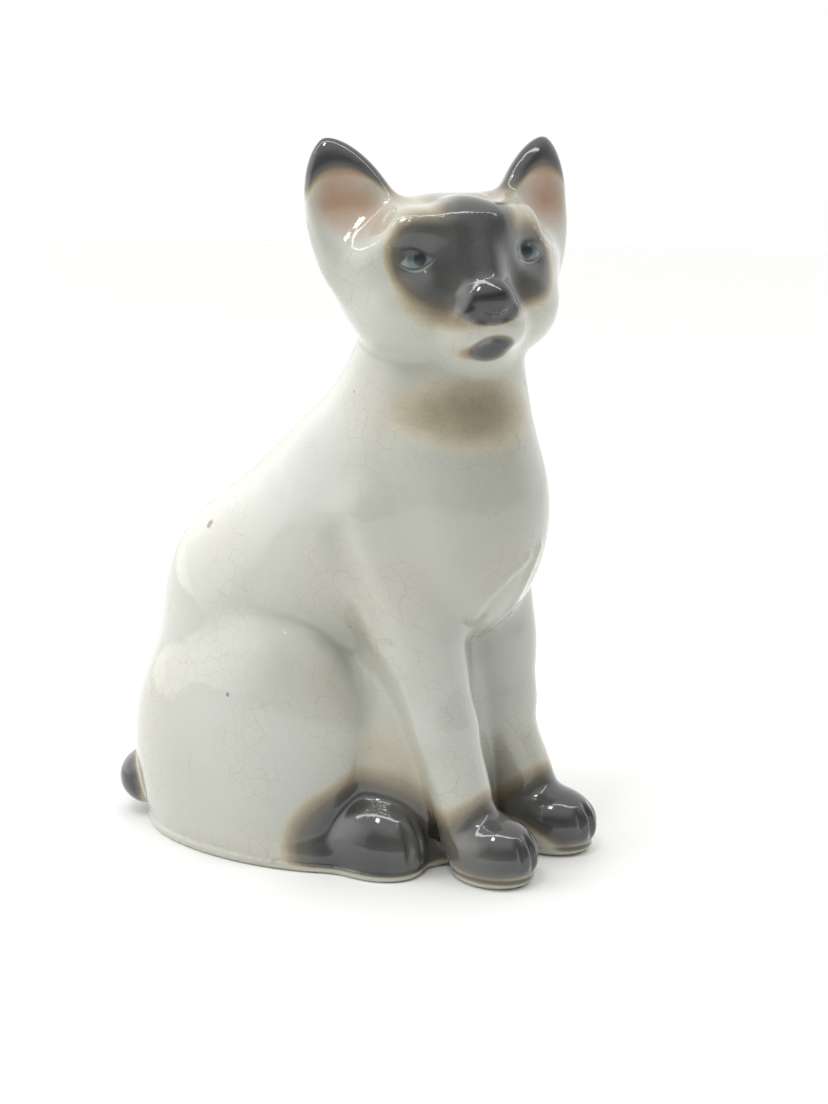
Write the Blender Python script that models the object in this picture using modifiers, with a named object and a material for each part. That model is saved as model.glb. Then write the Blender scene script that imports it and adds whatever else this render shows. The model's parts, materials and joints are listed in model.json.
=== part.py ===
"""A seated cat figurine in glazed ceramic, modelled as the nine clay castings that it is luted from.

The frame is in metres with +Z up and its origin on the floor, under the belly. The cat's chest faces
-Y, so its left side is +X. Places are given as (left, forward, up), in millimetres, where forward is -Y.

One lump of clay holds the whole outside. Flat seats and the hind paws' rounded seats divide it into
castings, a second lump hollows it, and locating stubs key the small castings into their neighbours.
"""

import math

import bmesh
import bpy
from mathutils import Matrix, Vector

MM = 0.001

# Driving dimensions, in millimetres.
JOINT_GAP = 0.3
FLOOR_THICKNESS = 4.5
SIDE_WALL = 4.0
VENT_RADIUS = 3.0
VENT_FORWARD = -14.0

# How far the cutters run past the clay, and below the floor.
BEYOND = 60.0
BELOW = 5.0

# The neck joint leans forward with the neck.
NECK_CENTRE = (0.0, 8.5, 75.0)
NECK_LEAN = math.radians(14)
COLLAR_RADIUS = 7.6
COLLAR_LENGTH = 5.0

# The head turns and tilts to the cat's right and lifts its chin a little.
HEAD_CENTRE = (-0.5, 10.5, 86.5)
HEAD_YAW = math.radians(32)
HEAD_PITCH = math.radians(4)
HEAD_ROLL = math.radians(3)

# The forelegs have flat seats and the hind paws have rounded ones.
LEG_SEAT_FORWARD = 11.0
LEG_SEAT_HEIGHT = 40.0
HIND_SEAT_CENTRE = (16.0, 6.0, 3.5)
HIND_SEAT_RADII = (8.2, 12.0, 10.5)

# An ear is a cup: a tapered shell with a dished front.
EAR_BASE = (12.6, 1.0, 6.5)
EAR_SPLAY = math.radians(19)
EAR_LEAN = math.radians(6)
EAR_TURN = math.radians(18)
EAR_HALF_WIDTH = 7.8
EAR_HALF_THICKNESS = 3.6
EAR_HEIGHT = 14.6
EAR_DISH_CENTRE = (0.0, 2.2, 0.8)
EAR_DISH_RADII = (6.2, 3.6, 12.0)
EAR_TIP_TAPER = 0.25
EAR_ROOT_TAPER = 0.6

# The tail comes off the back of the rump and lies across it, with its tip at the right.
TAIL_RADIUS = 4.8
TAIL_ROOT = (9.0, -38.5, 10.0)
TAIL_BEND = (3.0, -44.0, 6.5)
TAIL_TIP = (-16.0, -38.0, 6.2)

# Locating stubs start this far inside their own casting.
STUB_RADIUS = 2.2
STUB_LENGTH = 8.0
STUB_ROOT = 3.0
PAW_STUB_BACK = 4.0
PAW_STUB_RISE = 1.5
LEG_STUB_LEFT = 6.5
LEG_STUB_UP = 24.0
TAIL_STUB_TOP = (2.0, -43.0, 7.0)
EAR_STUB_RADIUS = 1.0
EAR_STUB_TOP = (0.0, -1.9, 7.5)
EAR_STUB_END = (0.0, -2.4, -2.5)

# How fine the clay is worked.
ROUND_SEGMENTS = 24
BALL_RINGS = 14
SOFTENING = 0.5
SHARP_EDGE = math.radians(50)
MERGE_DISTANCE = 0.01
CLAY_GRAIN = 1.2
CLAY_PASSES = 10
OUTSIDE_TRIANGLES = 5800
HOLLOW_TRIANGLES = 900
TAIL_TRIANGLES = 480

IDENTITY = Matrix.Identity(4)


def place(left, forward, up):
    """A point in metres from its distances to the left, forward and up, in millimetres."""
    return Vector((left, -forward, up)) * MM


def make_collection(name):
    collection = bpy.data.collections.new(name)
    bpy.context.scene.collection.children.link(collection)
    return collection


def make_object(name, bm, collection):
    """An object made from a bmesh, which is then freed."""
    mesh = bpy.data.meshes.new(name)
    bm.to_mesh(mesh)
    bm.free()
    obj = bpy.data.objects.new(name, mesh)
    collection.objects.link(obj)
    return obj


def evaluated_mesh(obj):
    graph = bpy.context.evaluated_depsgraph_get()
    return bpy.data.meshes.new_from_object(obj.evaluated_get(graph))


def as_cutter(obj):
    obj.hide_render = True
    obj.display_type = "WIRE"
    return obj


# Clay lumps, which are added to one bmesh and overlap.

def add_ball(bm, centre, radii, frame=IDENTITY):
    """An ellipsoid. Its radii run sideways, forward and up in the given frame."""
    matrix = frame @ Matrix.Translation(place(*centre)) @ Matrix.Diagonal((*radii, 1.0 / MM)) * MM
    matrix[3][3] = 1.0
    bmesh.ops.create_uvsphere(
        bm, u_segments=ROUND_SEGMENTS, v_segments=BALL_RINGS, radius=1.0, matrix=matrix
    )


def add_pair(bm, centre, radii, frame=IDENTITY):
    """The same ellipsoid on the left and on the right."""
    left, forward, up = centre
    for side in (1, -1):
        add_ball(bm, (side * left, forward, up), radii, frame)


def add_limb(bm, start, end, start_radius, end_radius, frame=IDENTITY):
    """A tapered limb with round ends: two balls and the cone between them."""
    add_ball(bm, start, (start_radius,) * 3, frame)
    add_ball(bm, end, (end_radius,) * 3, frame)
    first, last = place(*start), place(*end)
    run = last - first
    turn = run.to_track_quat("Z", "Y").to_matrix().to_4x4()
    bmesh.ops.create_cone(
        bm,
        cap_ends=True,
        segments=ROUND_SEGMENTS,
        radius1=start_radius * MM,
        radius2=end_radius * MM,
        depth=run.length,
        matrix=frame @ Matrix.Translation((first + last) / 2) @ turn,
    )


def add_limb_pair(bm, start, end, start_radius, end_radius):
    for side in (1, -1):
        start_side = (side * start[0], *start[1:])
        end_side = (side * end[0], *end[1:])
        add_limb(bm, start_side, end_side, start_radius, end_radius)


def work_clay(name, bm, collection, triangles):
    """Fuses overlapping lumps into one skin, smooths the creases and thins the triangles."""
    rough = make_object(name + "_lumps", bm, collection)
    fuse = rough.modifiers.new("fuse", "REMESH")
    fuse.mode = "VOXEL"
    fuse.voxel_size = CLAY_GRAIN * MM
    soften = rough.modifiers.new("soften", "SMOOTH")
    soften.factor = SOFTENING
    soften.iterations = CLAY_PASSES
    fine = evaluated_mesh(rough)
    thin = rough.modifiers.new("thin", "DECIMATE")
    thin.use_collapse_triangulate = True
    thin.ratio = triangles / (2.0 * len(fine.polygons))
    thinned = evaluated_mesh(rough)
    thinned.name = name
    bpy.data.objects.remove(rough)
    bpy.data.meshes.remove(fine)
    clay = bpy.data.objects.new(name, thinned)
    collection.objects.link(clay)
    return as_cutter(clay)


def head_frame():
    """The head's own frame: its origin in the middle of the skull and -Y out through the nose."""
    turn = (
        Matrix.Rotation(-HEAD_YAW, 4, "Z")
        @ Matrix.Rotation(-HEAD_PITCH, 4, "X")
        @ Matrix.Rotation(-HEAD_ROLL, 4, "Y")
    )
    return Matrix.Translation(place(*HEAD_CENTRE)) @ turn


def shape_outside(collection):
    """The whole outside of the cat but its ears and tail."""
    bm = bmesh.new()
    # Torso, from the rump up to the neck.
    add_ball(bm, (0, -18.5, 20), (20.5, 24.5, 29))
    add_limb(bm, (0, -17, 35), (0, -3, 51), 21, 17.5)
    add_limb(bm, (0, -3, 51), (0, 7, 68), 17.5, 13.5)
    add_limb(bm, (0, 7, 68), (0, 9.5, 80), 13.5, 11.5)
    add_ball(bm, (0, 10, 54), (14.5, 15.5, 21))
    add_ball(bm, (0, 4, 14), (15, 12, 34))
    add_ball(bm, (0, -14, 2), (24, 29, 9))
    # Haunches and hind paws.
    add_pair(bm, (15, -18.5, 17), (10, 18, 20))
    add_pair(bm, (16, 6, 4), (6.5, 10.5, 8.5))
    # Forelegs and forepaws.
    add_limb_pair(bm, (9, 8, 46), (7.5, 15.5, 22), 8.5, 5.8)
    add_limb_pair(bm, (7.5, 15.5, 22), (6.6, 19, 7), 5.8, 4.6)
    add_pair(bm, (7, 22.5, 4.5), (6, 7.5, 5.6))
    shape_head(bm)
    return work_clay("clay_outside", bm, collection, OUTSIDE_TRIANGLES)


def shape_head(bm):
    frame = head_frame()
    add_ball(bm, (0, -3, 1), (15.5, 12.5, 11.5), frame)
    add_pair(bm, (9, -1, 3), (8, 8, 9), frame)
    add_pair(bm, (6.5, 2, -4), (8.5, 8.5, 7.5), frame)
    add_ball(bm, (0, 7, -6.5), (7.4, 6.8, 6), frame)
    add_ball(bm, (0, 5, -9.5), (6, 5.5, 4), frame)
    add_limb(bm, (0, 6.5, 5), (0, 10, -1.5), 5.5, 4, frame)
    add_ball(bm, (0, 12, -2.8), (3.6, 3, 3), frame)
    add_pair(bm, (8.3, 7, 3.2), (3.6, 2.8, 2.8), frame)


def shape_hollow(collection):
    """The hollow inside the torso, neck and head, a wall's thickness in from the outside."""
    bm = bmesh.new()
    add_ball(bm, (0, -18, 20), (20 - SIDE_WALL, 24 - SIDE_WALL, 29 - SIDE_WALL))
    add_pair(bm, (14, -18.5, 18), (11 - SIDE_WALL, 16 - SIDE_WALL, 18 - SIDE_WALL))
    add_limb(bm, (0, -11, 38), (0, 2, 60), 14.5, 10)
    add_limb(bm, (0, 2, 60), (0, 8.5, 75), 10, 6.6)
    add_ball(bm, (0, 9, 56), (9.5, 10.5, 11))
    add_limb(bm, (0, 8.5, 75), (-0.5, 9, 84), 6.6, 7.5)
    add_ball(bm, (0, -3, 1), (15.5 - SIDE_WALL, 12.5 - SIDE_WALL, 11.5 - SIDE_WALL), head_frame())
    hollow = work_clay("clay_hollow", bm, collection, HOLLOW_TRIANGLES)
    floor = make_block(
        "floor_level", (-BEYOND, -BEYOND, -BEYOND), (BEYOND, BEYOND, FLOOR_THICKNESS), collection
    )
    combine(hollow, floor, "DIFFERENCE")
    return hollow


# Cutters.

def make_block(name, low, high, collection, matrix=IDENTITY):
    """A box between two (left, forward, up) corners."""
    bm = bmesh.new()
    size = [abs(high[axis] - low[axis]) * MM for axis in range(3)]
    middle = (place(*low) + place(*high)) / 2
    scale = Matrix.Diagonal((*size, 1.0))
    bmesh.ops.create_cube(bm, size=1.0, matrix=Matrix.Translation(middle) @ scale)
    block = make_object(name, bm, collection)
    block.matrix_world = matrix
    return as_cutter(block)


def make_rod(name, start, end, radius, collection, frame=IDENTITY):
    """A round bar between two points of a frame."""
    bm = bmesh.new()
    first, last = frame @ place(*start), frame @ place(*end)
    turn = (last - first).to_track_quat("Z", "Y").to_matrix().to_4x4()
    bmesh.ops.create_cone(
        bm,
        cap_ends=True,
        segments=ROUND_SEGMENTS,
        radius1=radius * MM,
        radius2=radius * MM,
        depth=(last - first).length,
        matrix=Matrix.Translation((first + last) / 2) @ turn,
    )
    return as_cutter(make_object(name, bm, collection))


def combine(piece, tool, operation):
    step = piece.modifiers.new(operation.lower() + "_" + tool.name, "BOOLEAN")
    step.operation = operation
    step.object = tool
    step.solver = "EXACT"


def neck_frame():
    """The neck joint's frame: its origin in the joint and +Z up the neck."""
    return Matrix.Translation(place(*NECK_CENTRE)) @ Matrix.Rotation(NECK_LEAN, 4, "X")


def key_into(piece, neighbour, name, start, end, radius, cutters, frame=IDENTITY):
    """A locating stub on a piece, from inside it to inside its neighbour, and the socket for it."""
    stub = make_rod(name + "_stub", start, end, radius, cutters, frame)
    combine(piece, stub, "UNION")
    reach = Vector(end) - Vector(start)
    bottom = Vector(end) + reach.normalized() * JOINT_GAP
    socket = make_rod(name + "_socket", start, bottom, radius + JOINT_GAP, cutters, frame)
    combine(neighbour, socket, "DIFFERENCE")


# Materials.

def make_glaze(name, colour, roughness):
    material = bpy.data.materials.new(name)
    material.use_nodes = True
    shader = material.node_tree.nodes["Principled BSDF"]
    shader.inputs["Base Color"].default_value = (*colour, 1.0)
    shader.inputs["Roughness"].default_value = roughness
    shader.inputs["Metallic"].default_value = 0.0
    shader.inputs["Coat Weight"].default_value = 0.6
    material.diffuse_color = (*colour, 1.0)
    return material


def finish(piece, glaze):
    piece.data.materials.clear()
    piece.data.materials.append(glaze)
    piece.data.shade_smooth()
    piece.data.set_sharp_from_angle(angle=SHARP_EDGE)


# Castings.

def cast(name, clay, parts):
    """A new piece with the whole outside's shape, for seat blocks to trim."""
    piece = bpy.data.objects.new(name, clay.data.copy())
    parts.objects.link(piece)
    return piece


def make_body(clay, hollow, cutters, parts):
    body = cast("body_shell", clay, parts)
    neck = neck_frame()
    above_neck = make_block(
        "above_neck", (-BEYOND, -BEYOND, -JOINT_GAP), (BEYOND, BEYOND, BEYOND), cutters, neck
    )
    neck_bore = make_rod(
        "neck_bore",
        (0, 0, -COLLAR_LENGTH - JOINT_GAP),
        (0, 0, COLLAR_LENGTH),
        COLLAR_RADIUS + JOINT_GAP,
        cutters,
        neck,
    )
    vent_low = (0, VENT_FORWARD, -BELOW)
    vent_high = (0, VENT_FORWARD, FLOOR_THICKNESS + BELOW)
    vent = make_rod("vent", vent_low, vent_high, VENT_RADIUS, cutters)
    leg_room = make_block(
        "leg_room",
        (-BEYOND, LEG_SEAT_FORWARD - JOINT_GAP, -BELOW),
        (BEYOND, BEYOND, LEG_SEAT_HEIGHT + JOINT_GAP),
        cutters,
    )
    combine(body, above_neck, "DIFFERENCE")
    combine(body, leg_room, "DIFFERENCE")
    for side in (1, -1):
        combine(body, hind_seat(side, JOINT_GAP, cutters), "DIFFERENCE")
    combine(body, hollow, "DIFFERENCE")
    combine(body, neck_bore, "DIFFERENCE")
    combine(body, vent, "DIFFERENCE")
    return body


def make_head(clay, hollow, cutters, parts):
    head = cast("head_shell", clay, parts)
    neck = neck_frame()
    head_seat = make_block(
        "head_seat", (-BEYOND, -BEYOND, 0), (BEYOND, BEYOND, BEYOND), cutters, neck
    )
    collar = make_rod(
        "neck_collar", (0, 0, -COLLAR_LENGTH), (0, 0, COLLAR_LENGTH), COLLAR_RADIUS, cutters, neck
    )
    combine(head, head_seat, "INTERSECT")
    combine(head, collar, "UNION")
    combine(head, hollow, "DIFFERENCE")
    return head


def hind_seat(side, growth, cutters):
    """The rounded seat that holds one hind paw, or the room that it leaves in its neighbours."""
    kind = "room" if growth else "seat"
    left, forward, up = HIND_SEAT_CENTRE
    bm = bmesh.new()
    add_ball(bm, (side * left, forward, up), [radius + growth for radius in HIND_SEAT_RADII])
    return as_cutter(make_object("hind_paw_" + kind + ("_left" if side > 0 else "_right"), bm, cutters))


def make_hind_paw(side, clay, body, cutters, parts):
    name = "hind_paw_" + ("left" if side > 0 else "right")
    paw = cast(name, clay, parts)
    combine(paw, hind_seat(side, 0, cutters), "INTERSECT")
    left, forward, up = HIND_SEAT_CENTRE
    root = left - HIND_SEAT_RADII[0] + STUB_ROOT
    start = (side * root, forward - PAW_STUB_BACK, up + PAW_STUB_RISE)
    end = (side * (root - STUB_LENGTH), *start[1:])
    key_into(paw, body, name, start, end, STUB_RADIUS, cutters)
    return paw


def make_foreleg(side, clay, body, cutters, parts):
    name = "foreleg_" + ("left" if side > 0 else "right")
    leg = cast(name, clay, parts)
    seat = make_block(
        name + "_seat",
        (side * JOINT_GAP / 2, LEG_SEAT_FORWARD, -BELOW),
        (side * BEYOND, BEYOND, LEG_SEAT_HEIGHT),
        cutters,
    )
    combine(leg, seat, "INTERSECT")
    combine(leg, hind_seat(side, JOINT_GAP, cutters), "DIFFERENCE")
    root = LEG_SEAT_FORWARD + STUB_ROOT
    start = (side * LEG_STUB_LEFT, root, LEG_STUB_UP)
    end = (side * LEG_STUB_LEFT, root - STUB_LENGTH, LEG_STUB_UP)
    key_into(leg, body, name, start, end, STUB_RADIUS, cutters)
    return leg


def ear_frame(side):
    left, forward, up = EAR_BASE
    turn = (
        Matrix.Rotation(side * EAR_SPLAY, 4, "Y")
        @ Matrix.Rotation(-EAR_LEAN, 4, "X")
        @ Matrix.Rotation(side * EAR_TURN, 4, "Z")
    )
    return head_frame() @ Matrix.Translation(place(side * left, forward, up)) @ turn


def taper(bm):
    """Narrows an ear's width towards its tip, and more so towards its root inside the head."""
    for vert in bm.verts:
        rise = vert.co.z / (EAR_HEIGHT * MM)
        loss = EAR_TIP_TAPER if rise > 0 else EAR_ROOT_TAPER
        vert.co.x *= 1.0 - loss * min(abs(rise), 1.0)


def make_ear(side, seat, head, cutters, parts):
    name = "ear_" + ("left" if side > 0 else "right")
    frame = ear_frame(side)
    outer = bmesh.new()
    add_ball(outer, (0, 0, 0), (EAR_HALF_WIDTH, EAR_HALF_THICKNESS, EAR_HEIGHT))
    taper(outer)
    ear = make_object(name, outer, parts)
    ear.matrix_world = frame
    inner = bmesh.new()
    add_ball(inner, EAR_DISH_CENTRE, EAR_DISH_RADII)
    taper(inner)
    cup = as_cutter(make_object(name + "_cup", inner, cutters))
    cup.matrix_world = frame
    combine(ear, cup, "DIFFERENCE")
    combine(ear, seat, "DIFFERENCE")
    key_into(ear, head, name, EAR_STUB_TOP, EAR_STUB_END, EAR_STUB_RADIUS, cutters, frame)
    return ear


def make_tail(seat, body, cutters, parts):
    line = bpy.data.curves.new("tail_line", "CURVE")
    line.dimensions = "3D"
    line.bevel_depth = TAIL_RADIUS * MM
    line.bevel_resolution = 3
    line.use_fill_caps = True
    spline = line.splines.new("BEZIER")
    spline.bezier_points.add(2)
    for point, spot in zip(spline.bezier_points, (TAIL_ROOT, TAIL_BEND, TAIL_TIP)):
        point.co = place(*spot)
        point.handle_left_type = "AUTO"
        point.handle_right_type = "AUTO"
    rod = bpy.data.objects.new("tail_line", line)
    cutters.objects.link(rod)
    bm = bmesh.new()
    bm.from_mesh(evaluated_mesh(rod))
    bpy.data.objects.remove(rod)
    bmesh.ops.remove_doubles(bm, verts=bm.verts, dist=MERGE_DISTANCE * MM)
    add_ball(bm, TAIL_TIP, (TAIL_RADIUS,) * 3)
    clay = work_clay("clay_tail", bm, cutters, TAIL_TRIANGLES)
    tail = cast("tail", clay, parts)
    combine(tail, seat, "DIFFERENCE")
    left, forward, up = TAIL_STUB_TOP
    stub_end = (left, forward + STUB_LENGTH, up)
    key_into(tail, body, "tail", TAIL_STUB_TOP, stub_end, STUB_RADIUS, cutters)
    return tail


def make_seat(clay, cutters):
    """The outside grown by the joint gap, which shapes the pieces that are luted onto it."""
    seat = as_cutter(bpy.data.objects.new("outside_seat", clay.data))
    cutters.objects.link(seat)
    grow = seat.modifiers.new("grow", "DISPLACE")
    grow.direction = "NORMAL"
    grow.mid_level = 0.0
    grow.strength = JOINT_GAP * MM
    return seat


def stand_on_floor(clay, cutters):
    """Cuts the foot flat at the floor."""
    below = make_block("below_floor", (-BEYOND, -BEYOND, -BEYOND), (BEYOND, BEYOND, 0), cutters)
    combine(clay, below, "DIFFERENCE")
    clay.data = evaluated_mesh(clay)
    clay.modifiers.clear()


def main():
    for obj in list(bpy.data.objects):
        bpy.data.objects.remove(obj)
    parts = make_collection("ceramic_cat_figurine")
    cutters = make_collection("cutters")
    ivory = make_glaze("ivory_glaze", (0.74, 0.73, 0.66), 0.12)
    seal = make_glaze("seal_glaze", (0.06, 0.055, 0.05), 0.1)
    clay = shape_outside(cutters)
    stand_on_floor(clay, cutters)
    hollow = shape_hollow(cutters)
    seat = make_seat(clay, cutters)
    body = make_body(clay, hollow, cutters, parts)
    head = make_head(clay, hollow, cutters, parts)
    finish(body, ivory)
    finish(head, ivory)
    for side in (1, -1):
        finish(make_ear(side, seat, head, cutters, parts), seal)
        finish(make_foreleg(side, clay, body, cutters, parts), ivory)
        finish(make_hind_paw(side, clay, body, cutters, parts), seal)
    finish(make_tail(seat, body, cutters, parts), seal)


main()
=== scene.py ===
"""The looks of a seated cat figurine in glazed ceramic, built around its packed castings.

The figurine is sculpted as one distance field, meshed, and parted along the CAD's joints into one
glazed piece for each CAD node. Its airbrushed colours and painted shade are worked out at the
mesh's points, and its eyes, crazing, specks and glaze in material nodes.

Sculpting is done in units of a millimetre at the CAD's own size, as (left, back, up), where +X is the
cat's left and -Y is where its chest faces.
"""

import json
import math

import bmesh
import bpy
import numpy as np
import openvdb
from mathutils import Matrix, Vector
from mathutils.geometry import tessellate_polygon

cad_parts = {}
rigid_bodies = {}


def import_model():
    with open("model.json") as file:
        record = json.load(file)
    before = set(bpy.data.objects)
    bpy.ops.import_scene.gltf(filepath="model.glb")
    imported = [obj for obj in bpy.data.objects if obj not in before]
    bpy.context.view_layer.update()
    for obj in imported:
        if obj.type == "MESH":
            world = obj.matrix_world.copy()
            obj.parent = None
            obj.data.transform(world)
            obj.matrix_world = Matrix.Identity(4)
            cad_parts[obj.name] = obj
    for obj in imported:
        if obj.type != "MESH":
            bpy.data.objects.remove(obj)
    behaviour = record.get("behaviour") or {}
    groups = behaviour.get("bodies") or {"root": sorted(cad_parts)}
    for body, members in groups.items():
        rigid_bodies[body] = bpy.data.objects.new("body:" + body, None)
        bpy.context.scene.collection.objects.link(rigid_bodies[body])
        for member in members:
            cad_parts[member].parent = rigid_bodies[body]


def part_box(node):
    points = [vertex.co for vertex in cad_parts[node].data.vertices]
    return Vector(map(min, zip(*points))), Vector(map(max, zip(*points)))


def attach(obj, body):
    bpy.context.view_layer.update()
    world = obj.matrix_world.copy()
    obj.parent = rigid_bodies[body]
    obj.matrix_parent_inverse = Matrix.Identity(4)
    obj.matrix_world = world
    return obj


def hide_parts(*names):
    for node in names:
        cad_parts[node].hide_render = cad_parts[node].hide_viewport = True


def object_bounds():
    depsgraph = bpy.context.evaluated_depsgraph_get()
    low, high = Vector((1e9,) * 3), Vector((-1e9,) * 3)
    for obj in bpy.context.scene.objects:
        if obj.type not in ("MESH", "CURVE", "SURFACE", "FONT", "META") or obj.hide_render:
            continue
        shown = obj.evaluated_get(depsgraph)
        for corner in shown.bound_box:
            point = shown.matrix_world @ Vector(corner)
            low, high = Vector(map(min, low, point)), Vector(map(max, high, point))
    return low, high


for leftover in list(bpy.data.objects):
    bpy.data.objects.remove(leftover)
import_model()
CAD_LOW, CAD_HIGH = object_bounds()

# One sculpting unit in metres: the CAD stands this many units tall.
HEIGHT_UNITS = 107.6
UNIT = (CAD_HIGH.z - CAD_LOW.z) / HEIGHT_UNITS

# The voxels that the field is sampled with, in units.
VOXEL = 0.36

f32 = np.float32


# ---- Places taken from the CAD

def box_point(node, left=0.5, back=0.5, up=0.5):
    """A point in a CAD node's box in units, from fractions of the box's sides."""
    low, high = (np.array(corner, f32) / f32(UNIT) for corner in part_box(node))
    return low + (high - low) * np.array([left, back, up], f32)


CROWN_DROP = 12.2
HEAD = box_point("head_shell", 0.478, 0.466, 1.0) - np.array([0, 0, CROWN_DROP], f32)
NECK_SEAT = box_point("body_shell", 0.5, 0.247, 0.965)
NECK_LEAN = math.radians(14)
# The forelegs' joint faces stand this far ahead of the backs of the CAD's forelegs.
LEG_SEAT_INSET = 5.0
LEG_SEAT_BACK = float(box_point("foreleg_right", 0.5, 1.0)[1]) - LEG_SEAT_INSET
LEG_SEAT_TOP = float(box_point("foreleg_right", up=1.0)[2])
TAIL_TIP = box_point("tail", 0.14, 0.29, 0.42)


# ---- Distance functions. Points are rows of (left, back, up).

def at(left, forward, up):
    return np.array([left, -forward, up], f32)


def length(rows):
    return np.sqrt(np.einsum("ij,ij->i", rows, rows))


def turned(yaw=0.0, pitch=0.0, roll=0.0):
    """Axes turned to the right by yaw, nose up by pitch and tilted to the right by roll, in degrees."""
    yaw, pitch, roll = -math.radians(yaw), -math.radians(pitch), -math.radians(roll)
    about_z = np.array(
        [[math.cos(yaw), -math.sin(yaw), 0], [math.sin(yaw), math.cos(yaw), 0], [0, 0, 1]]
    )
    about_x = np.array(
        [[1, 0, 0], [0, math.cos(pitch), -math.sin(pitch)], [0, math.sin(pitch), math.cos(pitch)]]
    )
    about_y = np.array(
        [[math.cos(roll), 0, math.sin(roll)], [0, 1, 0], [-math.sin(roll), 0, math.cos(roll)]]
    )
    return (about_z @ about_x @ about_y).astype(f32)


def ball(p, centre, radii, axes=None):
    """An ellipsoid whose radii run sideways, forward and up."""
    q = p - centre
    if axes is not None:
        q = q @ axes
    radii = np.asarray(radii, f32)
    near = length(q / radii)
    return near * (near - 1) / np.maximum(length(q / radii**2), 1e-6)


def limb(p, start, end, start_radius, end_radius):
    run = end - start
    along = np.clip((p - start) @ run / (run @ run), 0, 1)
    return length(p - start - along[:, None] * run) - (start_radius + along * (end_radius - start_radius))


def join(a, b, blend):
    """Two shapes made one, with a fillet about as wide as the blend."""
    near = np.maximum(blend - np.abs(a - b), 0) / blend
    return np.minimum(a, b) - near**3 * (blend / 6)


def carve(a, b, blend):
    return -join(-a, b, blend)


def meet(a, b, blend):
    return -join(-a, -b, blend)


def mirrored(p):
    """The same points with their right side folded onto the left."""
    folded = p.copy()
    folded[:, 0] = np.abs(folded[:, 0])
    return folded


def smooth(x, low, high):
    """Rises smoothly from 0 at low to 1 at high, or falls if low is the higher."""
    t = np.clip((x - low) / (high - low), 0, 1)
    return t * t * (3 - 2 * t)


# ---- The head, in its own axes

HEAD_AXES = turned(yaw=32, pitch=4, roll=3)
EYE = at(8.6, 7.6, 3.1)
NOSE = at(0, 12.6, -3.0)

# Balls of clay: a centre, then the radii sideways, forward and up.
CRANIUM = at(0, -3, 1), (15.4, 12.5, 11.6)
TEMPLE = at(9, -1, 3), (8, 8, 9)
CHEEK = at(6.5, 2, -4), (8.6, 8.4, 7.4)
MUZZLE = at(0, 6.6, -6.2), (7.2, 6.4, 5.4)
LIP = at(2.4, 9.9, -6.8), (3.9, 3.5, 3.1)
CHIN = at(0, 6, -10.4), (5.4, 4.6, 2.8)
EYE_HOLLOW = at(8.7, 11.6, 3.3), (3.7, 3.9, 2.2)
EYEBALL = EYE - at(0, 1.9, 0), (3.0, 2.5, 2.3)
NOSE_FLANK = at(4.2, 7.4, 2.6), (2.6, 2.2, 4.4)
NOSE_PAD = NOSE, (3.6, 2.3, 2.4)
NOSE_WING = NOSE + at(2.5, -0.7, -1.5), (2.2, 2.1, 1.6)
NOSTRIL = NOSE + at(2.2, 2.3, -2.5), (1.5, 1.2, 0.9)
MOUTH = at(0, 13.9, -9.7), (2.6, 2.2, 1.1)

# Rolls of clay: two ends, then the radius at each.
NOSE_BRIDGE = at(0, 5.6, 6), at(0, 10.4, -1.9), 5.6, 3.5
BROW = at(3.4, 7.2, 7.0), at(9.4, 4.6, 7.4), 3.0, 3.0
NOSE_RIM = NOSE + at(0.2, 1.9, -1.9), NOSE + at(2.7, 0.9, -0.1), 0.3, 0.25
NOSE_GROOVE = NOSE + at(0, 2.1, -2.2), NOSE + at(0, 0.9, -4.6), 0.35, 0.3
LIP_RIM = at(0, 12.2, -7.3), at(3.0, 10.7, -9.0), 0.6, 0.5

EAR_BASE = at(12.5, -0.6, 4.6)
EAR_AXES = turned(yaw=-14, pitch=5, roll=-16)
EAR_HALF_WIDTH = 7.1
EAR_HEIGHT = 16.4
EAR_DEPTH = 3.6
EAR_ROOT = 9.0

# The hollow in an ear's front: where it starts from, and its half width, half depth, height and drop.
DISH_OFFSET = at(0.9, 4.2, 2.0)
DISH_SHAPE = (EAR_HALF_WIDTH - 1.1, EAR_DEPTH + 0.2, EAR_HEIGHT - 3.3, 3.4)
# Below this rise the hollow runs out forwards, and its floor slopes down to its outer side.
DISH_RUN_OUT = 6.5
DISH_RUN_OUT_CURVE = 0.07
DISH_FLOOR_SLOPE = 0.60

# The left ear leans out with its height and stands further out, and the right ear stands higher.
LEFT_EAR_LEAN = 0.09
LEFT_EAR_OUT = 0.3
LEFT_EAR_DROP = 0.4
RIGHT_EAR_RISE = 0.7

# The plane of an ear's seat, from the crown down to the cheek.
EAR_SEAT_NORMAL = at(0.5, 0, 0.866)
EAR_SEAT_RISE = 13.6


def to_head(p):
    return (p - HEAD) @ HEAD_AXES


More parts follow.
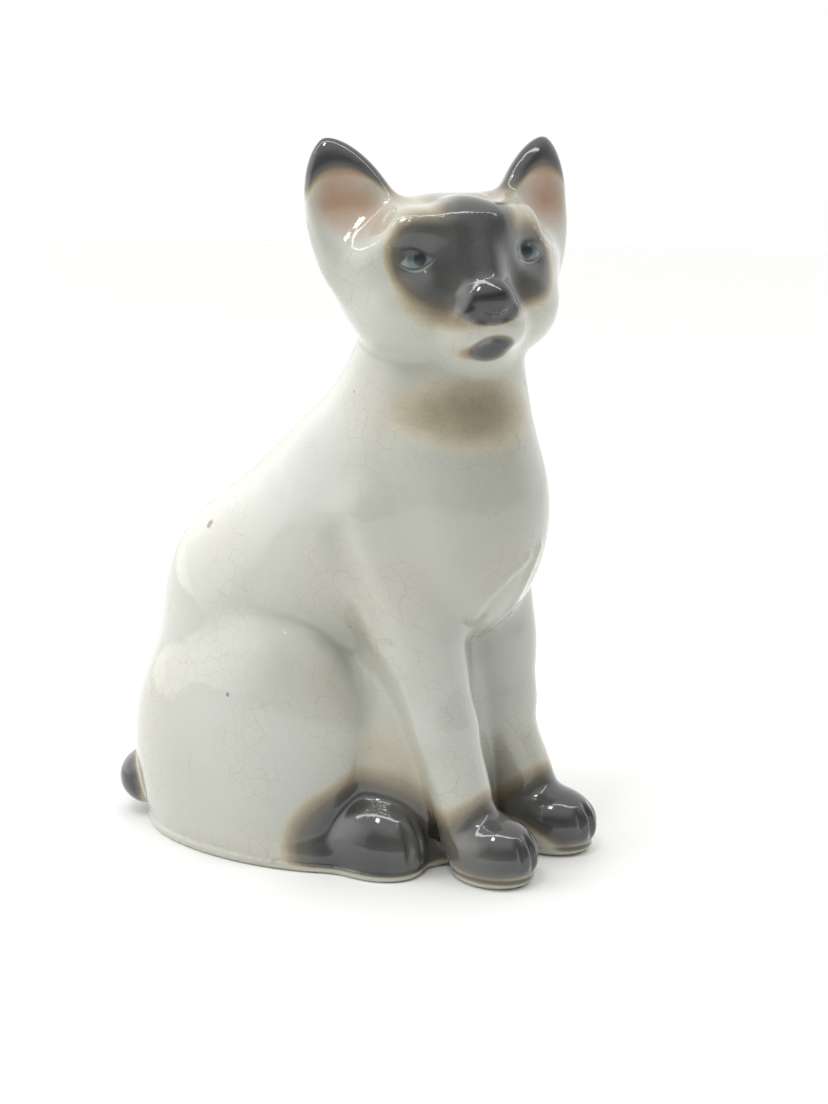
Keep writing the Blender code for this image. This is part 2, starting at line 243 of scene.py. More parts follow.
def skull(m):
    """The head without its ears, at mirrored points in its own axes."""
    d = ball(m, *CRANIUM)
    d = join(d, ball(m, *TEMPLE), blend=5)
    d = join(d, ball(m, *CHEEK), blend=5)
    d = join(d, ball(m, *MUZZLE), blend=4)
    d = join(d, ball(m, *LIP), blend=2.5)
    d = join(d, ball(m, *CHIN), blend=2.5)
    d = join(d, limb(m, *NOSE_BRIDGE), blend=4)
    d = join(d, limb(m, *BROW), blend=3)
    d = carve(d, ball(m, *EYE_HOLLOW), blend=2.6)
    d = join(d, ball(m, *EYEBALL), blend=0.9)
    d = join(d, ball(m, *NOSE_FLANK), blend=3.2)
    d = join(d, ball(m, *NOSE_PAD), blend=2.2)
    d = join(d, ball(m, *NOSE_WING), blend=1.0)
    d = carve(d, ball(m, *NOSTRIL), blend=1.2)
    d = join(d, limb(m, *NOSE_RIM), blend=0.7)
    d = carve(d, limb(m, *NOSE_GROOVE), blend=0.8)
    # The lips meet in an upturned V over a mouth that is a little open.
    d = join(d, limb(m, *LIP_RIM), blend=1.2)
    return carve(d, ball(m, *MOUTH), blend=1.6)


def over_slope(field, p, step=0.15):
    """A field divided by its slope, which near its surface is a distance."""
    here = field(p)
    slope = np.zeros(len(p), f32)
    for axis in range(3):
        ahead = np.zeros(3, f32)
        ahead[axis] = step
        slope += ((field(p + ahead) - here) / step) ** 2
    return here / np.sqrt(np.maximum(slope, 1e-4))


def leaf(p, half_width, half_depth, height, drop):
    """A pointed upright leaf: below 0 inside. It narrows to a rounded tip at its height."""
    across = np.hypot(p[:, 0] / half_width, p[:, 1] / half_depth)
    above = np.maximum(p[:, 2], 0) / height
    below = np.minimum(p[:, 2], 0) / drop
    return across**1.6 + above**2.2 + below**2 - 1


def leaf_distance(q, shape):
    """About the distance to a leaf. Far from it, any value above the joins' widths will do."""
    near = leaf(q, *shape)
    return np.where(near < 2.5, over_slope(lambda r: leaf(r, *shape), q), near * 2.0)


def ear_outer(m):
    q = (m - EAR_BASE) @ EAR_AXES
    return leaf_distance(q, (EAR_HALF_WIDTH, EAR_DEPTH, EAR_HEIGHT, EAR_ROOT))


def ear_dish(m):
    """The hollow in the front of an ear."""
    q = (m - EAR_BASE) @ EAR_AXES - DISH_OFFSET
    low = np.maximum(DISH_RUN_OUT - q[:, 2], 0)
    q[:, 1] += DISH_RUN_OUT_CURVE * low**2
    q[:, 2] += DISH_FLOOR_SLOPE * q[:, 0] * smooth(low, 0, 5)
    return leaf_distance(q, DISH_SHAPE)


def ear_places(q):
    """Mirrored places for the ears, which differ a little."""
    m = mirrored(q)
    on_left = q[:, 0] > 0
    rise = m[:, 2] - EAR_BASE[2]
    m[:, 0] -= np.where(on_left, LEFT_EAR_OUT + LEFT_EAR_LEAN * rise, 0)
    m[:, 2] -= np.where(on_left, -LEFT_EAR_DROP, RIGHT_EAR_RISE)
    return m


def head(p):
    q = to_head(p)
    e = ear_places(q)
    d = join(skull(mirrored(q)), ear_outer(e), blend=2.6)
    return carve(d, ear_dish(e), blend=4.2)


# ---- The body

LOWER_BACK = at(0, -19.3, 20), (21.2, 25.0, 29)
BACK = at(0, -19.0, 35.5), at(0, -3, 51), 21.0, 17.5
SHOULDERS = at(0, -3, 51), at(0, 7, 68), 17.5, 13.5
NECK = at(0, 7, 68), at(0, 9.5, 80), 13.2, 11.3
BREAST = at(0, 10, 53), (14.3, 15.3, 20)
FOOT = at(0, -14, 2), (24.2, 29.3, 8.5)
BUTTOCK = at(15.2, -22.6, 13.5), (9.2, 16.0, 17.5)
THIGH = at(15.4, -12.8, 18.6), (9.8, 17.4, 20.8)
HOCK = at(15.5, -14, 6), (8.0, 15, 8)
BELLY = at(0, 4, 14), (14.6, 12, 33)
# The groove parts the breast from the forelegs, and the crease sets the shoulder off from the flank.
BREAST_GROOVE = at(1.4, 22.6, 32), at(0.6, 20.2, 17), 0.5, 0.9
SHOULDER_CREASE = at(20.6, 3.5, 50), at(18.2, 9.5, 35), 3.4, 3.2

HIND_PAW = at(12.6, 4.2, 3.6)
HIND_PAW_RADII = (6.9, 10.2, 7.8)
HIND_PAW_LEAN = 12
FOREPAW = at(7.0, 22.6, 4.2)
FOREPAW_RADII = (5.9, 7.4, 5.4)
FOREPAW_LEAN = 4
UPPER_FORELEG = at(8.0, 4.0, 52), at(8.0, 14.5, 22), 10.0, 4.9
LOWER_FORELEG = at(8.0, 14.5, 22), at(7.0, 18.6, 7), 4.9, 4.5
# How much further out and ahead the left foreleg stands, at its paw and at its elbow.
LEFT_PAW_STEP = at(1.9, 0.7, 0)
LEFT_ELBOW_STEP = at(0.5, 2.0, 0)
# Where a paw's three toe grooves run, as shares of its half width.
TOE_GROOVES = (-0.42, 0.02, 0.46)

TAIL_ROOT = at(9, -38, 11)
TAIL_BEND = at(1, -43.2, 7)


def torso(p):
    d = ball(p, *LOWER_BACK)
    d = join(d, limb(p, *BACK), blend=6)
    d = join(d, limb(p, *SHOULDERS), blend=6)
    d = join(d, limb(p, *NECK), blend=5)
    d = join(d, ball(p, *BREAST), blend=6)
    d = join(d, ball(p, *FOOT), blend=7)
    return join(d, ball(mirrored(p), *BUTTOCK), blend=9)


def paw(m, centre, radii, lean):
    """A paw with toe grooves down its front."""
    d = ball(m, centre, radii, turned(yaw=-lean))
    width, reach, rise = radii
    for share in TOE_GROOVES:
        top = centre + at(share * width * 0.8, reach * 0.80, rise * 0.62)
        foot = centre + at(share * width * 1.05, reach * 1.06, -rise * 0.35)
        d = carve(d, limb(m, top, foot, 0.25, 0.5), blend=1.3)
    return d


def left_step(p):
    """Mirrored places for the forelegs, with the left one's stance undone."""
    on_left = smooth(p[:, 0], 0, 3)
    low = (on_left * smooth(p[:, 2], 21, 9))[:, None]
    high = (on_left * smooth(p[:, 2], 19, 34))[:, None]
    return mirrored(p) - low * LEFT_PAW_STEP - high * LEFT_ELBOW_STEP


def foreleg(stepped):
    d = limb(stepped, *UPPER_FORELEG)
    d = join(d, limb(stepped, *LOWER_FORELEG), blend=3)
    return join(d, paw(stepped, FOREPAW, FOREPAW_RADII, FOREPAW_LEAN), blend=2.6)


def tail(p):
    d = limb(p, TAIL_ROOT, TAIL_BEND, 5.4, 5.0)
    return join(d, limb(p, TAIL_BEND, TAIL_TIP, 5.0, 4.6), blend=3)


def plain_body(p):
    """The body and its legs without the breast's fold."""
    m = mirrored(p)
    haunch = join(ball(m, *THIGH), ball(m, *HOCK), blend=5)
    d = join(torso(p), haunch, blend=2.6)
    d = join(d, ball(p, *BELLY), blend=4)
    d = join(d, paw(m, HIND_PAW, HIND_PAW_RADII, HIND_PAW_LEAN), blend=2.2)
    d = join(d, foreleg(left_step(p)), blend=3.2)
    d = carve(d, limb(m, *BREAST_GROOVE), blend=3.2)
    return carve(d, limb(m, *SHOULDER_CREASE), blend=3.0)


def gradient(field, p, step=0.05):
    slopes = np.empty_like(p)
    for axis in range(3):
        ahead = np.zeros(3, f32)
        ahead[axis] = step
        slopes[:, axis] = (field(p + ahead) - field(p - ahead)) / (2 * step)
    return slopes


def on_surface(field, places):
    """The places on a field's surface that are nearest to some rough places."""
    p = np.array(places, f32)
    for _ in range(6):
        slope = gradient(field, p)
        p = p - (field(p) / np.maximum(length(slope), 1e-3))[:, None] * slope
    return p


# Two thin rims on the breast, where loose skin folds down between the forelegs. Their middles lie
# a little under the surface.
FOLD_SINK = 0.3
FOLD_RIM_RADIUS = 0.5
FOLD_RIMS = (
    ((1.4, 24.4, 48.6), (0.0, 23.6, 44.2), (-0.2, 20.9, 39.3), (-1.4, 18.6, 36.2)),
    ((-1.4, 24.2, 47.6), (-4.4, 23.2, 45.3), (-6.4, 20.6, 42.0), (-6.6, 18.4, 38.6)),
)
FOLD_RUNS = [
    on_surface(lambda p: plain_body(p) + FOLD_SINK, [at(*place) for place in rim]) for rim in FOLD_RIMS
]
# The fold lies wholly in front of this.
FOLD_BACK = -12


def body(p):
    d = plain_body(p)
    rims = np.full(len(p), 10.0, f32)
    for run in FOLD_RUNS:
        for start, end in zip(run[:-1], run[1:]):
            rims = np.minimum(rims, limb(p, start, end, FOLD_RIM_RADIUS, FOLD_RIM_RADIUS))
    return np.where(p[:, 1] < FOLD_BACK, join(d, rims, blend=1.5), d)


# A thin rim of glaze stands around the foot.
GLAZE_RIM = 0.5
GLAZE_RIM_HEIGHT = 1.3


def figurine(p):
    """The distance to the whole figurine's surface, below 0 inside it."""
    d = join(body(p), head(p), blend=2.6)
    d = join(d, tail(p), blend=0.9)
    rim = meet(d - GLAZE_RIM, p[:, 2] - GLAZE_RIM_HEIGHT, blend=0.8)
    d = join(d, rim, blend=0.8)
    return meet(d, -p[:, 2], blend=0.7)


# ---- From field to mesh

def sampled(field, p, most=400000):
    """The field's values, worked out a slice at a time to save memory."""
    return np.concatenate([field(p[start : start + most]) for start in range(0, len(p), most)])


def lattice(counts):
    """All the whole-number places in a box of counts, as rows."""
    steps = [np.arange(count) for count in counts]
    return np.stack(np.meshgrid(*steps, indexing="ij"), -1).reshape(-1, 3)


# A block is sampled if one of its corners is within this many block sides of the surface.
BLOCK_REACH = 1.9


def mesh_field(field, low, high, voxel, block=4, far=10.0):
    """Points and quads where a field is 0. Only the blocks of voxels near there are sampled."""
    low = np.array(low, f32) - 2 * voxel
    cells = np.ceil((np.array(high, f32) + 2 * voxel - low) / (block * voxel)).astype(int) + 1
    coarse = field(low + lattice(cells).astype(f32) * (block * voxel)).reshape(cells)
    near = np.abs(coarse) < block * voxel * BLOCK_REACH
    wanted = np.zeros(cells - 1, bool)
    for i, j, k in lattice((2, 2, 2)):
        wanted |= near[i : cells[0] - 1 + i, j : cells[1] - 1 + j, k : cells[2] - 1 + k]
    values = np.full((cells - 1) * block + 1, far, f32)
    sides = np.where(coarse > 0, far, -far).astype(f32)[:-1, :-1, :-1]
    values[:-1, :-1, :-1] = sides.repeat(block, 0).repeat(block, 1).repeat(block, 2)
    fine = (np.argwhere(wanted)[:, None] * block + lattice((block,) * 3)[None]).reshape(-1, 3)
    values[tuple(fine.T)] = sampled(field, low + fine.astype(f32) * voxel)
    grid = openvdb.FloatGrid(far)
    grid.copyFromArray(values)
    points, quads = grid.convertToQuads(0.0)[:2]
    points = points.astype(f32) * voxel + low
    for _ in range(2):
        slopes = gradient(field, points)
        step = field(points) / np.maximum((slopes**2).sum(1), 0.2)
        points = points - np.clip(step, -voxel, voxel)[:, None] * slopes
    points[:, 2] = np.maximum(points[:, 2], 0)
    return points, quads


def split_triangles(points, triangles, side):
    """Cuts triangles where side is 0. Returns points, triangles and which triangles are above 0."""
    side = np.where(np.abs(side) < 1e-4, 1e-4, side)
    positive = side[triangles] > 0
    mixed = positive.any(1) & ~positive.all(1)
    whole, cut = triangles[~mixed], triangles[mixed]
    # Turn each cut triangle so that its lone corner comes first.
    signs = positive[mixed]
    lone_sign = signs.sum(1) == 1
    lone = np.argmax(signs == lone_sign[:, None], axis=1)
    turn = (lone[:, None] + np.arange(3)) % 3
    a, b, c = np.take_along_axis(cut, turn, 1).T
    edges = np.sort(np.concatenate([np.stack([a, b], 1), np.stack([a, c], 1)]), axis=1)
    unique, index = np.unique(edges, axis=0, return_inverse=True)
    first, last = side[unique[:, 0]], side[unique[:, 1]]
    share = (first / (first - last))[:, None]
    fresh = points[unique[:, 0]] * (1 - share) + points[unique[:, 1]] * share
    index = index.reshape(-1) + len(points)
    ab, ac = index[: len(a)], index[len(a) :]
    pieces = [np.stack(corners, 1) for corners in ((a, ab, ac), (ab, b, c), (ab, c, ac))]
    flags = [lone_sign, ~lone_sign, ~lone_sign]
    triangles = np.concatenate([whole, *pieces])
    sides = np.concatenate([positive[~mixed].all(1), *flags])
    return np.concatenate([points, fresh]).astype(f32), triangles, sides


# ---- The joints between the castings. Each is above 0 on the named casting's side.

PAW_SEAT_RADII = (8.0, 11.8, 10.0)
# The tail starts this far off the body's surface, and all of it is behind this place.
TAIL_SEAT_GAP = 0.5
TAIL_FRONT = 20


def neck_side(p):
    normal = np.array([0, -math.sin(NECK_LEAN), math.cos(NECK_LEAN)], f32)
    return (p - NECK_SEAT) @ normal


def ear_side(p):
    """Above 0 beyond the sloping plane where each ear is luted to the head."""
    return mirrored(to_head(p)) @ EAR_SEAT_NORMAL - EAR_SEAT_RISE


def foreleg_side(p):
    return np.minimum(LEG_SEAT_BACK - p[:, 1], LEG_SEAT_TOP - p[:, 2])


def hind_paw_side(p):
    return -ball(mirrored(p), HIND_PAW, PAW_SEAT_RADII)


def tail_side(p):
    return np.minimum(body(p) - TAIL_SEAT_GAP, p[:, 1] - TAIL_FRONT)


def left_side(p):
    return p[:, 0]


def head_left_side(p):
    return to_head(p)[:, 0]


def part_castings(points, triangles):
    """Divides the skin at the joints. Returns the points and each casting's triangles by name."""
    castings = {}

    def take(rest, side, name, halves=None):
        nonlocal points
        points, cut, inside = split_triangles(points, rest, side(points))
        rest, taken = cut[~inside], cut[inside]
        if halves is None:
            castings[name] = taken
            return rest
        points, cut, on_left = split_triangles(points, taken, halves(points))
        castings[name + "_left"], castings[name + "_right"] = cut[on_left], cut[~on_left]
        return rest

    points, cut, above = split_triangles(points, triangles, neck_side(points))
    castings["head_shell"] = take(cut[above], ear_side, "ear", head_left_side)
    rest = take(cut[~above], tail_side, "tail")
    rest = take(rest, hind_paw_side, "hind_paw", left_side)
    castings["body_shell"] = take(rest, foreleg_side, "foreleg", left_side)
    return points, castings


# The places deep in the clay where the joint faces of two castings come together.
NECK_HEART = NECK_SEAT
LEG_HEART = np.array([0, LEG_SEAT_BACK, LEG_SEAT_TOP], f32)
PAW_HEART = HIND_PAW - at(0.5, 1.5, 0)
TAIL_HEART = at(-3.0, -35.0, 6.5)


def joint_heart(first, second, near):
    """Where the joint face between two castings comes to its middle. An ear's flat seat has none."""
    pair = first + " " + second
    if "ear" in pair:
        return None
    if "head_shell" in pair:
        return NECK_HEART
    if "tail" in pair:
        return TAIL_HEART
    if "hind_paw" in pair:
        return PAW_HEART * at(1 if near[0] > 0 else -1, -1, 1)
    return LEG_HEART


# An opening with more corners than this is a whole seat, and one with fewer is a narrow gap.
MOST_GAP_CORNERS = 20


def open_loops(bm):
    """The groups of joined edges that have a face on one side only, in the mesh's own order."""
    open_edges = dict.fromkeys(edge for edge in bm.edges if len(edge.link_faces) == 1)
    while open_edges:
        loop = [next(iter(open_edges))]
        del open_edges[loop[0]]
        frontier = list(loop[0].verts)
        while frontier:
            for edge in frontier.pop().link_edges:
                if edge in open_edges:
                    del open_edges[edge]
                    loop.append(edge)
                    frontier.extend(edge.verts)
        yield loop


def add_fan(bm, edges, apex):
    """Faces from open edges to one point, each wound to match its neighbour."""
    point = bm.verts.new(apex)
    for edge in edges:
        side = edge.link_loops[0]
        bm.faces.new((side.link_loop_next.vert, side.vert, point)).smooth = False


def cap_flat(bm, loop):
    """One flat joint face over an opening of any outline."""
    order = [loop[0].link_loops[0].vert]
    ahead = {edge.link_loops[0].vert: edge.link_loops[0].link_loop_next.vert for edge in loop}
    while len(order) < len(loop):
        order.append(ahead[order[-1]])
    for a, b, c in tessellate_polygon([[vert.co for vert in order]]):
        corners = [order[k] for k in sorted((a, b, c), reverse=True)]
        if not bm.faces.get(corners):
            bm.faces.new(corners).smooth = False


def cap_openings(bm, node, index, owners):
    """Closes a casting with joint faces that run inwards from each opening to the joint's heart."""
    fans = {}
    for edge in bm.edges:
        if len(edge.link_faces) == 1:
            a, b = (int(index[vert.index]) for vert in edge.verts)
            across = [name for name in owners[min(a, b), max(a, b)] if name != node]
            heart = joint_heart(node, across[0] if across else node, edge.verts[0].co)
            if heart is not None:
                fans.setdefault(tuple(map(float, heart)), []).append(edge)
    for heart, edges in sorted(fans.items()):
        add_fan(bm, edges, Vector(heart) * UNIT)
    # Where three castings meet, narrow openings are left between the hearts.
    for loop in list(open_loops(bm)):
        corners = dict.fromkeys(vert for edge in loop for vert in edge.verts)
        if "ear" in node or len(corners) > MOST_GAP_CORNERS:
            cap_flat(bm, loop)
        else:
            add_fan(bm, loop, sum((vert.co for vert in corners), Vector()) / len(corners))


# ---- Airbrushed colours and painted shade, worked out at points

# The reach of a spot along a way that doesn't limit it.
FAR = 40.0

# Airbrushed spots: a centre, the radii, the fading edge as a share of the radii, and the strength.
MASK_SPOTS = (
    (at(0.6, 9, 5.4), (5.4, FAR, 8.4), 0.34, 1.0),
    (at(-6.7, 9, 3.2), (5.2, FAR, 5.4), 0.34, 1.0),
    (at(-4.9, 9, -1.6), (5.3, FAR, 4.0), 0.8, 0.74),
    (at(8.7, 9, 1.7), (3.7, FAR, 4.9), 0.45, 0.9),
    (at(3.4, 9, -0.2), (5.0, FAR, 4.6), 0.45, 0.8),
)
MASK_STRENGTH = 0.86
# A warm halo of thin colour spreads over the brow and temples.
HALO = at(0.5, 9, 7.5), (13.0, FAR, 9.0), 0.3, 0.13
NOSE_SPOT = NOSE + at(0, 0, -0.4), (4.9, 6, 3.0), 0.14, 1.0
MOUTH_SPOT = at(0.3, 12.5, -9.7), (3.1, 5, 1.7), 0.3, 1.0
MOUTH_CORNER_SPOT = at(-2.2, 11.5, -10.0), (2.4, 5, 1.1), 0.5, 0.3
FOREPAW_SPOT = FOREPAW + at(-0.2, 1.2, 0.8), (7.8, 9.4, 7.2), 0.42, 1.0
HIND_PAW_SPOT = HIND_PAW + at(1.6, 0.6, -0.6), (10.2, 11.4, 10.4), 0.36, 1.0
FEET_STRENGTH = 0.9215
# The inner side of the left forepaw was missed by the brush.
MISSED_SPOT = FOREPAW + at(-5.2, -2.6, -3.4), (4.4, 6.6, 4.4), 0.25, 1.0
# A thin brown patch on the throat: partly paint, partly painted shadow under the chin.
THROAT_PAINT_AND_SHADOW = at(-6.5, 17.5, 68.6), (9.6, 9, 4.4), 0.9, 0.36
BELLY_SPOT = at(13.5, 8, 12), (5, 8, 12), 0.6, 0.16
# Painted shade on the sides turned from the light: the chest, the right side of the neck and the flank.
SHADE_SPOTS = (
    (at(-5.0, 19.5, 57.0), (9.5, 9.0, 13.0), 0.7, 0.75),
    (at(-11.0, 6.0, 74.0), (6.0, 8.0, 7.0), 0.7, 0.8),
    (at(-17.5, 4.0, 42.0), (7.0, 10.0, 13.0), 0.7, 0.3),
)


def spot(p, centre, radii, edge, strength):
    away = length((p - centre) / np.asarray(radii, f32))
    return smooth(away, 1 + edge, 1 - edge) * strength


def cover(*coats):
    """Coats laid over one another."""
    bare = 1.0
    for coat in coats:
        bare = bare * (1 - coat)
    return 1 - bare


def mask_paint(q):
    """The dark face mask, nose and mouth, at points in the head's own axes."""
    front = smooth(-q[:, 1], -7.0, -1.5)
    coat = cover(*[spot(q, *place) for place in MASK_SPOTS]) * MASK_STRENGTH
    lips = cover(spot(q, *MOUTH_SPOT), spot(q, *MOUTH_CORNER_SPOT))
    return cover(coat * front, spot(q, *HALO) * front, spot(q, *NOSE_SPOT), lips)


# An ear darkens between these rises, and its outside does so this much lower than its dish.
EAR_TIP_FADE = (13.6, 19.0)
EAR_TIP_WRAP = 3.2
EAR_TIP_STRENGTH = 0.94
EAR_INNER_SIDE = 6


def ear_tip_paint(q):
    e = ear_places(q)
    rise = e[:, 2] + EAR_TIP_WRAP * smooth(ear_dish(e), 0.0, 1.6)
    return smooth(rise, *EAR_TIP_FADE) * (np.abs(q[:, 0]) > EAR_INNER_SIDE) * EAR_TIP_STRENGTH


def feet_paint(p, normals):
    stepped = left_step(p)
    missed = spot(stepped, *MISSED_SPOT) * smooth(p[:, 0], -1, 1)
    fore = spot(stepped, *FOREPAW_SPOT) * (1 - 0.93 * missed)
    feet = cover(fore, spot(mirrored(p), *HIND_PAW_SPOT)) * FEET_STRENGTH
    # The undersides and the glaze's rim at the floor stay bare.
    return feet * smooth(normals[:, 2], -0.7, -0.2) * smooth(p[:, 2], 0.7, 1.5)


def tail_paint(p, normals):
    dark = smooth(tail(p), 1.6, 0.2) * smooth(p[:, 1] - 24, 0, 4) * smooth(body(p), -0.2, 1.4)
    return dark * smooth(normals[:, 1] * 0.9 + normals[:, 2] * 0.5, -0.8, -0.35)


# The mask ends below the crown, and the head's colours fade out on the neck.
MASK_TOP = 14
HEAD_COLOUR_FADE = (-15, -13)


def seal_paint(p, normals):
    """How thick the dark seal colour lies, with the painted shadow under the chin: 0 bare, 1 black."""
    q = to_head(p)
    face = mask_paint(q) * (q[:, 2] < MASK_TOP)
    points = cover(ear_tip_paint(q), face) * smooth(q[:, 2], *HEAD_COLOUR_FADE)
    # The throat's thin patch is partly painted shadow under the chin.
    thin = cover(spot(p, *THROAT_PAINT_AND_SHADOW), spot(mirrored(p), *BELLY_SPOT))
    return cover(points, feet_paint(p, normals), tail_paint(p, normals), thin)


def rose_paint(p):
    """The warm colour inside the ears."""
    e = ear_places(to_head(p))
    inside = smooth(ear_dish(e), 1.1, -0.5)
    return inside * (0.55 * smooth(e[:, 2], -2.0, 4.0) + 0.45 * smooth(e[:, 2], 4.0, 11.0))


def pooling_and_shade(p, normals):
    """Where glaze pools and shade is painted: near 1 in hollows and creases, and on the chest, neck and
    flank.
    """
    reach = 3.0
    hollow = np.clip(1 - figurine(p + normals * reach) / reach, 0, 1)
    return cover(hollow, *[spot(p, *place) for place in SHADE_SPOTS])


# ---- Materials

def add_node(tree, kind, inputs=None, **settings):
    node = tree.nodes.new(kind)
    for name, value in settings.items():
        setattr(node, name, value)
    for name, value in (inputs or {}).items():
        if isinstance(value, bpy.types.NodeSocket):
            tree.links.new(value, node.inputs[name])
        else:
            node.inputs[name].default_value = value
    return node


class Wiring:
    """Short names for the nodes that the materials use often."""

    def __init__(self, tree):
        self.tree = tree

    def math(self, operation, a, b=0.0, clamp=False):
        node = add_node(self.tree, "ShaderNodeMath", {0: a, 1: b}, operation=operation, use_clamp=clamp)
        return node.outputs[0]

    def mix(self, factor, a, b, blend="MIX"):
        node = add_node(self.tree, "ShaderNodeMix", data_type="RGBA", blend_type=blend)
        for slot, value in ((0, factor), (6, a), (7, b)):
            if isinstance(value, bpy.types.NodeSocket):
                self.tree.links.new(value, node.inputs[slot])
            else:
                node.inputs[slot].default_value = value
        return node.outputs[2]

    def fade(self, value, low, high, to_low=0.0, to_high=1.0):
        """Rises smoothly between two values."""
        node = add_node(
            self.tree,
            "ShaderNodeMapRange",
            {"Value": value, "From Min": low, "From Max": high, "To Min": to_low, "To Max": to_high},
            interpolation_type="SMOOTHSTEP",
        )
        return node.outputs[0]

    def noise(self, vector, scale, detail=2.0, distortion=0.0):
        inputs = {"Vector": vector, "Scale": scale, "Detail": detail, "Distortion": distortion}
        return add_node(self.tree, "ShaderNodeTexNoise", inputs)

    def vector_math(self, operation, a, b, output=0):
        node = add_node(self.tree, "ShaderNodeVectorMath", {0: a, 1: b}, operation=operation)
        return node.outputs[output]

    def cell_edges(self, vector, scale):
        """How far away the nearest edge between random cells is."""
        inputs = {"Vector": vector, "Scale": scale}
        node = add_node(self.tree, "ShaderNodeTexVoronoi", inputs, feature="DISTANCE_TO_EDGE")
        return node.outputs["Distance"]

    def attribute(self, name):
        return add_node(self.tree, "ShaderNodeAttribute", attribute_name=name).outputs

    def parts(self, vector):
        return add_node(self.tree, "ShaderNodeSeparateXYZ", {0: vector}).outputs


def colour(*rgb):
    return (*rgb, 1.0)


SEAL_COATS = (
    (0.0, colour(0.52, 0.525, 0.475)),
    (0.12, colour(0.53, 0.485, 0.375)),
    (0.32, colour(0.32, 0.27, 0.19)),
    (0.55, colour(0.15, 0.13, 0.105)),
    (0.8, colour(0.098, 0.10, 0.096)),
    (0.93, colour(0.058, 0.060, 0.059)),
    (1.0, colour(0.038, 0.040, 0.040)),
)


def seal_colour(w, coat):
    """From bare glaze through tan and brown to near black as the coat thickens."""
    ramp = add_node(w.tree, "ShaderNodeValToRGB", {"Fac": coat})
    elements = ramp.color_ramp.elements
    while len(elements) < len(SEAL_COATS):
        elements.new(0.5)
    for element, (place, shade) in zip(elements, SEAL_COATS):
        element.position = place
        element.color = shade
    return ramp.outputs["Color"]


# A painted eye in units: how high its lids stand at its middle, and how they curve to its corners.
UPPER_LID = 1.5
UPPER_LID_CURVE = 0.26
LOWER_LID = 1.25
LOWER_LID_CURVE = 0.21
EYE_SLANT = 0.08
# Where the white turns to iris and the iris to pupil, as distances from the pupil's middle.
IRIS_EDGE = (1.95, 1.5)
PUPIL_EDGE = (1.15, 0.7)
PUPIL_RISE = 0.15
# How far each pupil sits to the figurine's right of its eye's middle.
RIGHT_GAZE = -0.5
LEFT_GAZE = -0.15


def eye_colour(w, place, rise, away):
    """White, iris and pupil. away is the distance from the pupil's middle."""
    drift = w.noise(place, 1.1, 3.0).outputs[0]
    away = w.math("ADD", away, w.math("MULTIPLY", w.math("SUBTRACT", drift, 0.5), 0.5))
    white = w.mix(drift, colour(0.17, 0.215, 0.22), colour(0.29, 0.34, 0.335))
    # The iris darkens towards its top: painted shade from the upper lid.
    iris = w.mix(w.fade(rise, -0.9, 1.1), colour(0.165, 0.21, 0.22), colour(0.075, 0.095, 0.105))
    eye = w.mix(w.fade(away, *IRIS_EDGE), white, iris)
    return w.mix(w.fade(away, *PUPIL_EDGE), eye, colour(0.028, 0.034, 0.037))


def painted_eyes(w, below, place):
    """Grey-blue eyes laid over the colour below, at places in the head's own axes in units."""
    x, y, z = w.parts(place)
    side = w.math("SUBTRACT", w.math("ABSOLUTE", x), float(EYE[0]))
    side_2 = w.math("MULTIPLY", side, side)
    rise = w.math("ADD", w.math("SUBTRACT", z, float(EYE[2])), w.math("MULTIPLY", side, EYE_SLANT))
    upper = w.math("SUBTRACT", UPPER_LID, w.math("MULTIPLY", side_2, UPPER_LID_CURVE))
    lower = w.math("SUBTRACT", w.math("MULTIPLY", side_2, LOWER_LID_CURVE), LOWER_LID)
    under_upper = w.math("SUBTRACT", upper, rise)
    over_lower = w.math("SUBTRACT", rise, lower)
    front = w.fade(y, -3.0, -4.0)
    in_lids = w.math("MULTIPLY", w.fade(under_upper, 0.0, 0.45), w.fade(over_lower, 0.0, 0.3))
    in_lids = w.math("MULTIPLY", in_lids, front)
    gaze = w.math("SUBTRACT", side, w.fade(x, -1.0, 1.0, RIGHT_GAZE, LEFT_GAZE))
    height = w.math("SUBTRACT", rise, PUPIL_RISE)
    square = w.math("ADD", w.math("MULTIPLY", gaze, gaze), w.math("MULTIPLY", height, height))
    eye = eye_colour(w, place, rise, w.math("SQRT", square))
    # The upper lid's shade is painted over the eyeball, and a thin painted highlight runs along the lower
    # lid.
    eye = w.mix(w.fade(under_upper, 0.75, 0.1, 0.0, 0.8), eye, colour(0.035, 0.037, 0.037))
    under = w.math("ABSOLUTE", w.math("SUBTRACT", rise, w.math("SUBTRACT", lower, 0.22)))
    lid = w.math("MULTIPLY", w.fade(under, 0.26, 0.05), w.math("MULTIPLY", front, w.fade(side_2, 7.5, 1.5)))
    with_lid_highlight = w.mix(w.math("MULTIPLY", lid, 0.45), below, colour(0.40, 0.40, 0.37))
    return w.mix(w.math("MULTIPLY", in_lids, 0.95), with_lid_highlight, eye)


# How many craze cells there are to a unit, and how far their edges wander.
COARSE_CRAZING = 0.36
FINE_CRAZING = 0.75
CRAZING_WANDER = (1.6, 1.6, 1.6)


def crazing(w, place):
    """The web of fine cracks in an old glaze: 1 on a crack. It comes and goes over the surface."""
    drift = w.noise(place, 0.35, 2.0).outputs["Color"]
    bent = w.vector_math("ADD", place, w.vector_math("MULTIPLY", drift, CRAZING_WANDER))
    coarse = w.fade(w.cell_edges(bent, COARSE_CRAZING), 0.022, 0.004)
    fine = w.fade(w.cell_edges(bent, FINE_CRAZING), 0.02, 0.004)
    crack = w.math("MAXIMUM", coarse, w.math("MULTIPLY", fine, 0.5))
    patch = w.fade(w.noise(place, 0.09, 2.0).outputs[0], 0.36, 0.60)
    return w.math("MULTIPLY", crack, patch)


